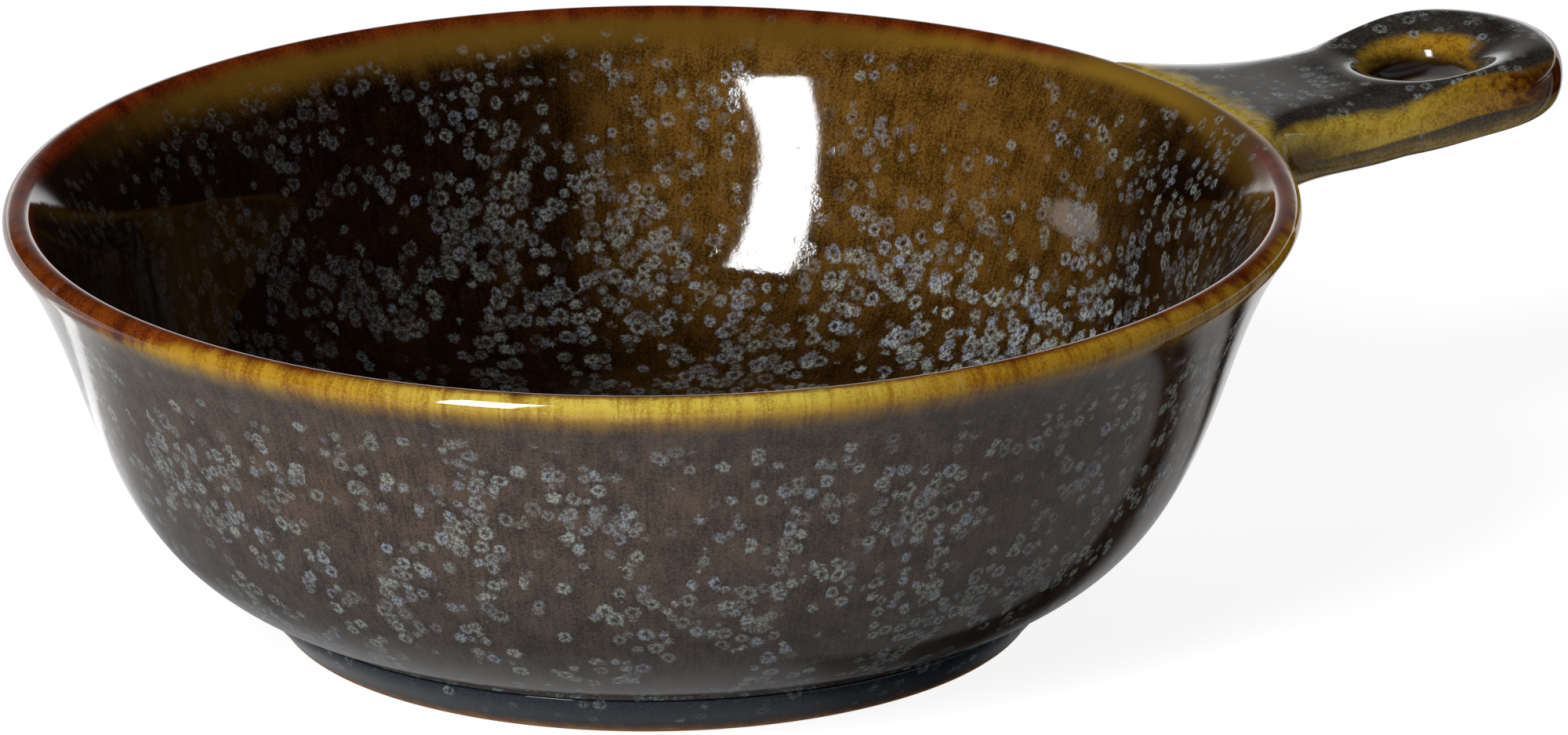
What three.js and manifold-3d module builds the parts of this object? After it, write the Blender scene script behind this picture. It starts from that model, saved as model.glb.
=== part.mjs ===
// Handled stoneware bowl: a thrown shell on a turned foot ring, with a flat pressed handle that has a hanging
// hole. Foot ring and handle are luted to the shell with a thin layer of slip. Millimetres, +Z up.
// The handle points along +X, the foot stands on z = 0, and the whole object's box is centred on the Z axis.
import * as THREE from 'three';
import { TessellateModifier } from 'three/addons/modifiers/TessellateModifier.js';
import { mergeVertices } from 'three/addons/utils/BufferGeometryUtils.js';
import Module from 'manifold-3d';

// Bowl
const RIM_DIAMETER = 150;
const BOWL_HEIGHT = 50.4;
const LIP_THICKNESS = 3.6;
const LIP_FLARE = 35; // degrees from upright, where the wall runs into the lip
const WAIST_RADIUS = 66.8; // outside, where the belly turns into the flare
const WAIST_BELOW_RIM = 20;
const WAIST_LEAN = 19; // degrees from upright
const WALL_THICKNESS = 4.4; // at the waist
const FLOOR_THICKNESS = 5.2;
const UNDERSIDE_DIAMETER = 93.8; // flat disc that the belly rises from
const BELLY_RISE = 27; // degrees above level, where the belly leaves the underside
const BELLY_LOWER_REACH = 10; // lengths of the belly curve's end tangents, outside
const BELLY_UPPER_REACH = 15;
const BASIN_WALL_REACH = 22; // the same, inside
const BASIN_FLOOR_REACH = 46;

// Foot ring
const FOOT_HEIGHT = 4.4;
const FOOT_BASE_DIAMETER = 87.6;
const FOOT_TOP_DIAMETER = 92.4;
const FOOT_BASE_WIDTH = 5.8;
const FOOT_TOP_WIDTH = 8.8;
const FOOT_EDGE_ROUND = 1;

// Handle
const HANDLE_REACH = 50; // rim to tip
const HANDLE_THICKNESS = 7.8;
const HANDLE_EDGE_ROUND = 3.2;
const BAR_FLAT = 0.4; // least flat left between the rounded edges of a bar
const HANDLE_TILT = 3.4; // degrees, rising outwards
const HANDLE_BELOW_RIM = 1.9; // rim's top to the handle's top, but for the flare
const RING_WIDTH = 32.6; // the round end
const RING_ARC = 240; // degrees of the round end before it draws in to the neck
const NECK_WIDTH = 25.6;
const NECK_FROM_RIM = 14;
const ROOT_WIDTH = 41; // the flare, on the bowl's wall
const ROOT_THICKNESS = 11.4;
const HOLE_LENGTH = 12.8;
const HOLE_WIDTH = 11.2;
const HOLE_FROM_TIP = 19.4; // to the hole's centre

// Luting slip
const FOOT_SLIP_THICKNESS = 0.6;
const FOOT_SLIP_BEAD = 0.5; // squeezed out past the foot ring
const HANDLE_SLIP_THICKNESS = 0.9;
const HANDLE_SLIP_BEAD = 0.8; // squeezed out past the handle's root
const SEAT_GAP = 0.3; // between faces that are cut to fit each other

// Facets
const TURN_FACETS = 64;
const CURVE_FACETS = 8;
const EDGE_FACETS = 4;
const FACET_LENGTH = 5; // longest edge on the handle
const FACET_SPLITS = 40; // most rounds of halving that any edge could need

const rimRadius = RIM_DIAMETER / 2;
const lipRadius = LIP_THICKNESS / 2;
const waistHeight = BOWL_HEIGHT - WAIST_BELOW_RIM;
const undersideHeight = FOOT_HEIGHT + FOOT_SLIP_THICKNESS;
const footBase = FOOT_BASE_DIAMETER / 2;
const footTop = FOOT_TOP_DIAMETER / 2;
const handleHeight = BOWL_HEIGHT - HANDLE_BELOW_RIM - HANDLE_THICKNESS / 2; // mid thickness, at the rim
const rootTop = handleHeight + ROOT_THICKNESS / 2;
const overTop = BOWL_HEIGHT + ROOT_THICKNESS;

// The edges are rounded as far as the thinnest bar round the hole and the handle's thickness allow.
const sideBar = (Math.min(NECK_WIDTH, RING_WIDTH) - HOLE_WIDTH) / 2;
const tipBar = HOLE_FROM_TIP - HOLE_LENGTH / 2;
const thinnestBar = Math.min(sideBar, tipBar, HANDLE_THICKNESS);
const edgeRound = Math.min(HANDLE_EDGE_ROUND, (thinnestBar - BAR_FLAT) / 2);

const wasm = await Module();
wasm.setup();

/** Direction in the profile plane, at an angle in degrees from the outward radius. */
function heading(degrees) {
  const angle = THREE.MathUtils.degToRad(degrees);
  return new THREE.Vector2(Math.cos(angle), Math.sin(angle));
}

/** The point at a distance from a start along a direction. */
function along(start, direction, distance) {
  return start.clone().addScaledVector(direction, distance);
}

const rise = heading(BELLY_RISE);
const lean = heading(90 - WAIST_LEAN);
const flare = heading(90 - LIP_FLARE);
const lipCentre = new THREE.Vector2(rimRadius - lipRadius, BOWL_HEIGHT - lipRadius);

/** Adds a smooth curve that leaves the path's end and arrives at a point along the given directions. */
function addCurve(path, leave, leaveReach, to, arrive, arriveReach) {
  const first = along(path.currentPoint, leave, leaveReach);
  const second = along(to, arrive, -arriveReach);
  path.bezierCurveTo(first.x, first.y, second.x, second.y, to.x, to.y);
}

/** Starts a profile on the axis and takes it up the bowl's outside and round the lip, moved out by a margin. */
function outsideProfile(margin, lipTurn) {
  const out = (direction) => new THREE.Vector2(direction.y, -direction.x);
  const corner = along(new THREE.Vector2(UNDERSIDE_DIAMETER / 2, undersideHeight), out(rise), margin);
  const waist = along(new THREE.Vector2(WAIST_RADIUS, waistHeight), out(lean), margin);
  const lip = along(lipCentre, out(flare), lipRadius + margin);
  const upperReach = lip.distanceTo(waist) / 3;
  const path = new THREE.Path();
  path.moveTo(0, corner.y);
  path.lineTo(corner.x, corner.y);
  addCurve(path, rise, BELLY_LOWER_REACH, waist, lean, BELLY_UPPER_REACH);
  addCurve(path, lean, upperReach, lip, flare, upperReach);
  const lipStart = THREE.MathUtils.degToRad(-LIP_FLARE);
  const lipEnd = lipStart + THREE.MathUtils.degToRad(lipTurn);
  path.absarc(lipCentre.x, lipCentre.y, lipRadius + margin, lipStart, lipEnd, false);
  return path;
}

/** Turns a profile of radius and height about the Z axis. */
function turned(path, facets = CURVE_FACETS) {
  const geometry = new THREE.LatheGeometry(path.getPoints(facets), TURN_FACETS);
  return geometry.rotateX(Math.PI / 2);
}

/** The shell: flat underside, round belly, flared wall, rounded lip and a basin with a gently dished floor. */
function bowlBody() {
  const path = outsideProfile(0, 180);
  const down = lean.clone().negate();
  const inward = new THREE.Vector2(-lean.y, lean.x);
  const waist = along(new THREE.Vector2(WAIST_RADIUS, waistHeight), inward, WALL_THICKNESS);
  const floor = new THREE.Vector2(0, undersideHeight + FLOOR_THICKNESS);
  const upperReach = path.currentPoint.distanceTo(waist) / 3;
  addCurve(path, flare.clone().negate(), upperReach, waist, down, upperReach);
  addCurve(path, down, BASIN_WALL_REACH, floor, heading(180), BASIN_FLOOR_REACH);
  return turned(path);
}

/** The foot ring: flat base with rounded edges, sides that spread upwards, flat top. */
function footRing() {
  const innerBase = footBase - FOOT_BASE_WIDTH;
  const outer = new THREE.Vector2(footTop - footBase, FOOT_HEIGHT).normalize();
  const inner = new THREE.Vector2(footTop - FOOT_TOP_WIDTH - innerBase, FOOT_HEIGHT).normalize();
  const outerSide = along(new THREE.Vector2(footBase, 0), outer, FOOT_EDGE_ROUND);
  const innerSide = along(new THREE.Vector2(innerBase, 0), inner, FOOT_EDGE_ROUND);
  const path = new THREE.Path();
  path.moveTo(innerBase + FOOT_EDGE_ROUND, 0);
  path.lineTo(footBase - FOOT_EDGE_ROUND, 0);
  path.quadraticCurveTo(footBase, 0, outerSide.x, outerSide.y);
  path.lineTo(footTop, FOOT_HEIGHT);
  path.lineTo(footTop - FOOT_TOP_WIDTH, FOOT_HEIGHT);
  path.lineTo(innerSide.x, innerSide.y);
  path.quadraticCurveTo(innerBase, 0, innerBase + FOOT_EDGE_ROUND, 0);
  return turned(path, EDGE_FACETS);
}

/** The slip on the foot ring: a thin washer, squeezed out at both sides where it meets the underside. */
function footSlip() {
  const footInner = footTop - FOOT_TOP_WIDTH;
  const path = new THREE.Path();
  path.moveTo(footInner, FOOT_HEIGHT);
  path.lineTo(footTop, FOOT_HEIGHT);
  path.lineTo(footTop + FOOT_SLIP_BEAD, undersideHeight);
  path.lineTo(footInner - FOOT_SLIP_BEAD, undersideHeight);
  path.lineTo(footInner, FOOT_HEIGHT);
  return turned(path);
}

/** The handle's outline from above, with x out from the bowl's axis: flared root, drawn-in neck, round end. */
function handleOutline() {
  const ringRadius = RING_WIDTH / 2;
  const tip = rimRadius + HANDLE_REACH;
  const ringX = tip - ringRadius;
  const neck = new THREE.Vector2(rimRadius + NECK_FROM_RIM, NECK_WIDTH / 2);
  const root = new THREE.Vector2(0, ROOT_WIDTH / 2);
  root.x = Math.sqrt(rimRadius ** 2 - root.y ** 2);
  const back = Math.sqrt(Math.min(rimRadius, WAIST_RADIUS) ** 2 - root.y ** 2) - 3 * edgeRound;
  const half = THREE.MathUtils.degToRad(RING_ARC / 2);
  const shoulder = new THREE.Vector2(ringX + ringRadius * Math.cos(half), ringRadius * Math.sin(half));
  const outward = new THREE.Vector2(1, 0);
  const round = heading(RING_ARC / 2 - 90);
  const reach = shoulder.distanceTo(neck) / 3;
  const shape = new THREE.Shape();
  shape.moveTo(back, -root.y);
  shape.lineTo(root.x, -root.y);
  shape.quadraticCurveTo(root.x, -neck.y, neck.x, -neck.y);
  const fore = new THREE.Vector2(round.x, -round.y);
  addCurve(shape, outward, reach, new THREE.Vector2(shoulder.x, -shoulder.y), fore, reach);
  shape.absarc(ringX, 0, ringRadius, -half, half, false);
  addCurve(shape, round.clone().negate(), reach, neck, outward.clone().negate(), reach);
  shape.quadraticCurveTo(root.x, neck.y, root.x, root.y);
  shape.lineTo(back, root.y);
  shape.closePath();
  const hole = new THREE.Path();
  hole.absellipse(tip - HOLE_FROM_TIP, 0, HOLE_LENGTH / 2, HOLE_WIDTH / 2, 0, 2 * Math.PI, true, 0);
  shape.holes.push(hole);
  return shape;
}

/** Thickens a flat blank towards the root, so that it flares upwards and downwards as well as sideways. */
function thickenRoot(geometry) {
  const position = geometry.attributes.position;
  for (let i = 0; i < position.count; i += 1) {
    const outwards = THREE.MathUtils.smoothstep(position.getX(i), rimRadius, rimRadius + NECK_FROM_RIM);
    const thickness = THREE.MathUtils.lerp(ROOT_THICKNESS, HANDLE_THICKNESS, outwards);
    position.setZ(i, position.getZ(i) * (thickness / HANDLE_THICKNESS));
  }
}

/** The handle before its root is cut to the wall: the outline with rounded edges, tilted, grown by a margin. */
function handleBlank(margin) {
  const round = edgeRound + margin;
  const depth = HANDLE_THICKNESS - 2 * edgeRound;
  const geometry = new THREE.ExtrudeGeometry(handleOutline(), {
    depth,
    curveSegments: CURVE_FACETS,
    bevelThickness: round,
    bevelSize: round,
    bevelOffset: -edgeRound,
    bevelSegments: EDGE_FACETS,
  });
  geometry.translate(0, 0, -depth / 2);
  const fine = new TessellateModifier(FACET_LENGTH, FACET_SPLITS).modify(geometry);
  thickenRoot(fine);
  fine.translate(-rimRadius, 0, 0);
  fine.rotateY(-THREE.MathUtils.degToRad(HANDLE_TILT));
  fine.translate(rimRadius, 0, handleHeight);
  return solidOf(fine);
}

/** Everything inside the bowl's outer wall and a margin round it, up to a given top, to cut what sits on the wall. */
function wallBlock(margin, top) {
  const path = outsideProfile(margin, LIP_FLARE);
  path.lineTo(path.currentPoint.x, top);
  path.lineTo(0, top);
  return solidOf(turned(path));
}

/** The handle, its root hollowed to sit on the slip. */
function handle() {
  const margin = SEAT_GAP + HANDLE_SLIP_THICKNESS + SEAT_GAP;
  return geometryOf(handleBlank(0).subtract(wallBlock(margin, overTop)));
}

/** The slip behind the handle's root: a thin curved pad on the wall, level with the root's top. */
function handleSlip() {
  const skin = wallBlock(SEAT_GAP + HANDLE_SLIP_THICKNESS, rootTop).subtract(wallBlock(SEAT_GAP, overTop));
  return geometryOf(handleBlank(HANDLE_SLIP_BEAD).intersect(skin));
}

/** A solid from a closed geometry. */
function solidOf(geometry) {
  geometry.deleteAttribute('normal');
  geometry.deleteAttribute('uv');
  const merged = mergeVertices(geometry);
  const vertProperties = merged.attributes.position.array;
  const triVerts = merged.index.array;
  return new wasm.Manifold(new wasm.Mesh({ numProp: 3, vertProperties, triVerts: new Uint32Array(triVerts) }));
}

/** A geometry from a solid. */
function geometryOf(solid) {
  const mesh = solid.getMesh();
  const geometry = new THREE.BufferGeometry();
  geometry.setAttribute('position', new THREE.BufferAttribute(mesh.vertProperties, mesh.numProp));
  geometry.setIndex(new THREE.BufferAttribute(mesh.triVerts, 1));
  geometry.computeVertexNormals();
  return geometry;
}

const brownGlaze = new THREE.MeshStandardMaterial({ color: '#4d3d2c', roughness: 0.12, metalness: 0 });
const slateGlaze = new THREE.MeshStandardMaterial({ color: '#585650', roughness: 0.12, metalness: 0 });
const navyGlaze = new THREE.MeshStandardMaterial({ color: '#2b2c33', roughness: 0.15, metalness: 0 });
const firedSlip = new THREE.MeshStandardMaterial({ color: '#8a5a36', roughness: 0.8, metalness: 0 });

/** A named piece. */
function piece(name, geometry, material) {
  const mesh = new THREE.Mesh(geometry, material);
  mesh.name = name;
  return mesh;
}

const handledBowl = new THREE.Group();
handledBowl.add(piece('bowl_body', bowlBody(), brownGlaze));
handledBowl.add(piece('foot_ring', footRing(), navyGlaze));
handledBowl.add(piece('foot_slip', footSlip(), firedSlip));
handledBowl.add(piece('handle', handle(), slateGlaze));
handledBowl.add(piece('handle_slip', handleSlip(), firedSlip));

const box = new THREE.Box3().setFromObject(handledBowl);
handledBowl.position.x = -(box.min.x + box.max.x) / 2;

export default handledBowl;
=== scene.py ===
"""Looks of a handled stoneware bowl in a glossy reactive glaze, built round the fixed frame of its solids."""

import logging
import math
from dataclasses import dataclass
from enum import Enum
from typing import Any, Optional, Union

import bmesh
import bpy
from mathutils import Matrix, Vector
from mathutils.geometry import interpolate_bezier


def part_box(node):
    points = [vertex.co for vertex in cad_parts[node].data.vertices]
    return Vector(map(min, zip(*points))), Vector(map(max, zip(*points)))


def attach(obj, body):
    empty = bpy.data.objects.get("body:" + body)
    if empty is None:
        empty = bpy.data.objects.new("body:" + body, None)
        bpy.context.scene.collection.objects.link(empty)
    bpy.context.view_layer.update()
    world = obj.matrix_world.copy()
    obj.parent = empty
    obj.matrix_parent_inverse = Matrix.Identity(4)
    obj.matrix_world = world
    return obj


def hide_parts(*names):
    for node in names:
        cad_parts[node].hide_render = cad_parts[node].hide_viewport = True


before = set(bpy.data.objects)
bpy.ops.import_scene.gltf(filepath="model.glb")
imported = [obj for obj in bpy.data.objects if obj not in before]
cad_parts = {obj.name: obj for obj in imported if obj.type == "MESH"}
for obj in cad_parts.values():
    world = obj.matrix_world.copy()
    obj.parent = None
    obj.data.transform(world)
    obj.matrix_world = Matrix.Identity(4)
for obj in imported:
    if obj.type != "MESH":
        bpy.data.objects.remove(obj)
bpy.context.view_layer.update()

LOG = logging.getLogger("handled_bowl")
MM = 0.001
WELD = 1e-4
BODY = "root"

BOWL_LOW, BOWL_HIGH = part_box("bowl_body")
BOWL_AXIS = Vector(((BOWL_LOW.x + BOWL_HIGH.x) / 2, (BOWL_LOW.y + BOWL_HIGH.y) / 2, 0))
RIM_RADIUS = (BOWL_HIGH.y - BOWL_LOW.y) / 2 / MM
RIM_HEIGHT = BOWL_HIGH.z / MM
HANDLE_TIP = (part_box("handle")[1].x - BOWL_AXIS.x) / MM

Colour = tuple[float, float, float, float]
Tone = tuple[Colour, Colour]
Band = tuple[float, float]
Socket = bpy.types.NodeSocket
Number = Union["Value", float]


def heading(degrees: float) -> Vector:
    """Direction in a profile's plane, at an angle from the outward radius."""
    angle = math.radians(degrees)
    return Vector((math.cos(angle), math.sin(angle)))


def bearing(azimuth: float, elevation: float) -> Vector:
    """Direction from the object towards a viewer; azimuth 0 is on the -Y side and 90 on the +X side."""
    turn, lift = math.radians(azimuth), math.radians(elevation)
    return Vector((math.sin(turn) * math.cos(lift), -math.cos(turn) * math.cos(lift), math.sin(lift)))


def smooth(value: float, low: float, high: float) -> float:
    """0 below low, 1 above high, and a smooth rise between them."""
    share = min(max((value - low) / (high - low), 0.0), 1.0)
    return share * share * (3 - 2 * share)


def lerp(first: float, second: float, share: float) -> float:
    """The number at a share of the way from the first to the second."""
    return first + (second - first) * share


class Profile:
    """An outline to be turned, in radius and height, drawn with lines, curves and arcs, in millimetres."""

    def __init__(self, radius: float, height: float) -> None:
        """Starts the outline at a point."""
        self.points = [Vector((radius, height))]

    @property
    def end(self) -> Vector:
        """The point that the outline has reached."""
        return self.points[-1]

    def line(self, radius: float, height: float, steps: int = 1) -> None:
        """Adds a straight line.

        Args:
            radius: Radius of the line's end.
            height: Height of the line's end.
            steps: Count of equal edges along the line.
        """
        start, stop = self.end, Vector((radius, height))
        self.points += [start.lerp(stop, step / steps) for step in range(1, steps + 1)]

    def curve(self, leave: Vector, stop: Vector, arrive: Vector, reaches: Band, steps: int) -> None:
        """Adds a smooth curve that leaves the outline's end and arrives at a point along given directions.

        Args:
            leave: Direction in which the curve starts.
            stop: The curve's last point.
            arrive: Direction in which the curve arrives.
            reaches: Lengths of the tangents at its start and at its last point.
            steps: Count of edges along the curve.
        """
        first = self.end + leave * reaches[0]
        second = stop - arrive * reaches[1]
        self.points += interpolate_bezier(self.end, first, second, stop, steps + 1)[1:]

    def arc(self, centre: Vector, radius: float, start: float, sweep: float, steps: int) -> None:
        """Adds an arc.

        Args:
            centre: The arc's centre.
            radius: The arc's radius.
            start: Angle of its first point, in degrees from the outward radius.
            sweep: Angle that it turns through, in degrees.
            steps: Count of edges along the arc.
        """
        angles = [start + sweep * step / steps for step in range(1, steps + 1)]
        self.points += [centre + heading(angle) * radius for angle in angles]


def finished_piece(name: str, mesh_data: bmesh.types.BMesh) -> bpy.types.Object:
    """Closes a mesh modelled in millimetres round the bowl's axis, and puts it in the frame.

    Args:
        name: The piece's name.
        mesh_data: The mesh, which is used up.

    Returns:
        The new object, at the origin, with its place in its mesh.
    """
    bmesh.ops.remove_doubles(mesh_data, verts=mesh_data.verts, dist=WELD)
    bmesh.ops.recalc_face_normals(mesh_data, faces=mesh_data.faces)
    place = Matrix.Translation(BOWL_AXIS) @ Matrix.Scale(MM, 4)
    bmesh.ops.transform(mesh_data, matrix=place, verts=mesh_data.verts)
    for face in mesh_data.faces:
        face.smooth = True
    mesh = bpy.data.meshes.new(name)
    mesh_data.to_mesh(mesh)
    mesh_data.free()
    piece = bpy.data.objects.new(name, mesh)
    bpy.context.scene.collection.objects.link(piece)
    return piece


def turned_piece(name: str, profile: Profile, segments: int, crest: Optional[int] = None) -> bpy.types.Object:
    """Turns a profile about the bowl's axis into a closed, smooth piece.

    Args:
        name: The piece's name.
        profile: The outline, which starts and ends on the axis or at one point.
        segments: Count of steps round the axis.
        crest: Number of the profile point from which the attribute "crest" counts millimetres.

    Returns:
        The new object, in place.
    """
    mesh_data = bmesh.new()
    layer = mesh_data.verts.layers.float.new("crest")
    chain = [mesh_data.verts.new((point.x, 0, point.y)) for point in profile.points]
    edges = [mesh_data.edges.new(pair) for pair in zip(chain, chain[1:])]
    travelled = [0.0]
    for edge in edges:
        travelled.append(travelled[-1] + edge.calc_length())
    for vertex, distance in zip(chain, travelled):
        vertex[layer] = travelled[crest or 0] - distance
    bmesh.ops.spin(mesh_data, geom=chain + edges, cent=(0, 0, 0), axis=(0, 0, 1), angle=2 * math.pi,
                   steps=segments, use_merge=True, use_duplicate=False)
    return finished_piece(name, mesh_data)


@dataclass
class BowlShell:
    """The thrown shell: belly, flared wall, rounded lip and basin, in millimetres."""

    lip_thickness: float = 3.6
    lip_flare: float = 35.0
    inner_flare: float = 40.0
    inner_shares: Band = (0.57, 0.28)
    waist_radius: float = 66.8
    waist_below_rim: float = 20.0
    waist_lean: float = 19.0
    wall_thickness: float = 4.4
    floor_thickness: float = 5.2
    underside_height: float = 5.0
    collar_radius: float = 46.95
    collar_height: float = 5.3
    collar_edge: float = 0.6
    collar_reaches: Band = (0.4, 0.2)
    crease_reaches: Band = (0.8, 1.7)
    belly_radius: float = 50.4
    belly_height: float = 6.9
    belly_rise: float = 29.0
    belly_reaches: Band = (8.0, 15.0)
    basin_reaches: Band = (22.0, 46.0)
    segments: int = 192

    def __post_init__(self) -> None:
        """Works out the lip's round and the outline."""
        self.lip_radius = self.lip_thickness / 2
        self.lip_centre = Vector((RIM_RADIUS - self.lip_radius, RIM_HEIGHT - self.lip_radius))
        self.profile, self.crest = self._outline()

    def _outline(self) -> tuple[Profile, int]:
        """Draws the outline from under the floor, up the outside, over the lip and down into the basin.

        Returns:
            The outline, and the number of the point on the lip's crest.
        """
        lean = heading(90 - self.waist_lean)
        flare = heading(90 - self.lip_flare)
        rise = heading(self.belly_rise)
        up, out = heading(90), heading(0)
        waist = Vector((self.waist_radius, RIM_HEIGHT - self.waist_below_rim))
        lip = self.lip_centre + heading(-self.lip_flare) * self.lip_radius
        collar = Vector((self.collar_radius, self.collar_height))
        belly = Vector((self.belly_radius, self.belly_height))
        profile = Profile(0, self.underside_height)
        profile.line(self.collar_radius - self.collar_edge, self.underside_height, steps=12)
        profile.curve(out, collar, up, self.collar_reaches, steps=5)
        profile.curve(up, belly, rise, self.crease_reaches, steps=10)
        profile.curve(rise, waist, lean, self.belly_reaches, steps=30)
        reach = (lip - waist).length / 3
        profile.curve(lean, lip, flare, (reach, reach), steps=18)
        profile.arc(self.lip_centre, self.lip_radius, -self.lip_flare, 90 + self.lip_flare, steps=14)
        crest = len(profile.points) - 1
        profile.arc(self.lip_centre, self.lip_radius, 90, 90 - self.inner_flare, steps=8)
        inner_waist = waist + Vector((-lean.y, lean.x)) * self.wall_thickness
        floor = Vector((0, self.underside_height + self.floor_thickness))
        drop = (profile.end - inner_waist).length
        inner_reaches = (drop * self.inner_shares[0], drop * self.inner_shares[1])
        fall = -heading(90 - self.inner_flare)
        profile.curve(fall, inner_waist, -lean, inner_reaches, steps=18)
        profile.curve(-lean, floor, heading(180), self.basin_reaches, steps=44)
        return profile, crest

    def outside_radius(self, height: float) -> float:
        """The wall's outer radius at a height.

        Args:
            height: Height above the table, between the belly and the crest.

        Returns:
            The radius there.
        """
        outside = self.profile.points[:self.crest + 1]
        for low, high in zip(outside, outside[1:]):
            if low.y <= height < high.y:
                return lerp(low.x, high.x, (height - low.y) / (high.y - low.y))
        return outside[-1].x

    def build(self) -> bpy.types.Object:
        """Builds the shell, with millimetres from the crest in its attribute "crest", positive outside."""
        return turned_piece("bowl_glazed", self.profile, self.segments, self.crest)


@dataclass
class FootRing:
    """The turned foot: bare base, rounded edges and a bulge under the crease, in millimetres."""

    base_radius: float = 43.8
    base_width: float = 5.8
    edge_round: float = 1.0
    bulge_radius: float = 46.8
    bulge_height: float = 4.7
    crease_radius: float = 46.6
    crease_height: float = 4.95
    inner_top_radius: float = 36.6
    inner_lean: float = 84.0
    side_swell: float = 0.35
    seat_inset: float = 0.8
    seat_height: float = 5.2
    seat_edge: float = 0.2
    base_reaches: Band = (0.7, 0.6)
    side_reaches: Band = (1.3, 1.0)
    bulge_reaches: Band = (0.3, 0.15)
    inner_reaches: Band = (0.5, 2.0)
    inner_edge_reaches: Band = (0.6, 0.7)
    segments: int = 160

    def build(self) -> bpy.types.Object:
        """Builds the foot ring, its top sunk a little into the shell's underside.

        Returns:
            The piece.
        """
        up, out = heading(90), heading(0)
        inner_base = self.base_radius - self.base_width
        start = Vector((inner_base + self.edge_round, 0))
        bulge = Vector((self.bulge_radius, self.bulge_height))
        side = Vector((self.base_radius + self.side_swell, self.edge_round))
        lean = (bulge - side).normalized()
        crease = Vector((self.crease_radius, self.crease_height))
        inner_side = Vector((inner_base, self.edge_round))
        inner_lean = heading(-self.inner_lean)
        profile = Profile(start.x, start.y)
        profile.line(self.base_radius - self.edge_round, 0, steps=4)
        profile.curve(out, side, lean, self.base_reaches, steps=6)
        profile.curve(lean, bulge, up, self.side_reaches, steps=10)
        profile.curve(up, crease, -out, self.bulge_reaches, steps=6)
        profile.line(self.crease_radius - self.seat_inset, self.seat_height)
        profile.line(self.inner_top_radius, self.seat_height, steps=4)
        profile.line(self.inner_top_radius, self.seat_height - self.seat_edge)
        profile.curve(out, inner_side, inner_lean, self.inner_reaches, steps=10)
        profile.curve(inner_lean, start, out, self.inner_edge_reaches, steps=6)
        return turned_piece("foot_glazed", profile, self.segments)


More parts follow.
